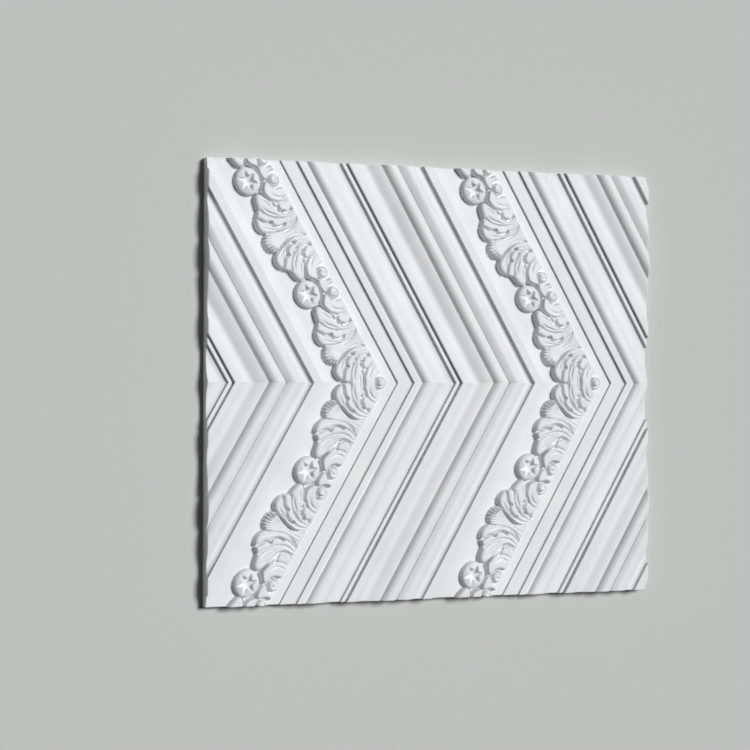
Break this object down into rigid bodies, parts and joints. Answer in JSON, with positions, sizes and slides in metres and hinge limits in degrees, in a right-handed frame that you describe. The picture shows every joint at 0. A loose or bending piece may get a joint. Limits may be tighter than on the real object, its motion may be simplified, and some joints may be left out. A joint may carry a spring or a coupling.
{
  "type": "3d wall panel tile",
  "caption": "Rectangular moulded wall tile in white, with mitred chevron mouldings, leaf and rosette garlands between them, and a flat back to glue to a wall.",
  "frame": {"origin": "middle of the flat back, with the tile lying face up", "axes": "+X along the tile's width, the way the chevrons point; +Y along its height; +Z out of the decorated face"},
  "size_m": [0.38, 0.34, 0.0149],
  "materials": {
    "primed_white": "smooth matte white primer"
  },
  "bodies": {
    "root": {"wall_panel_tile": "primed_white"}
  },
  "joints": []
}
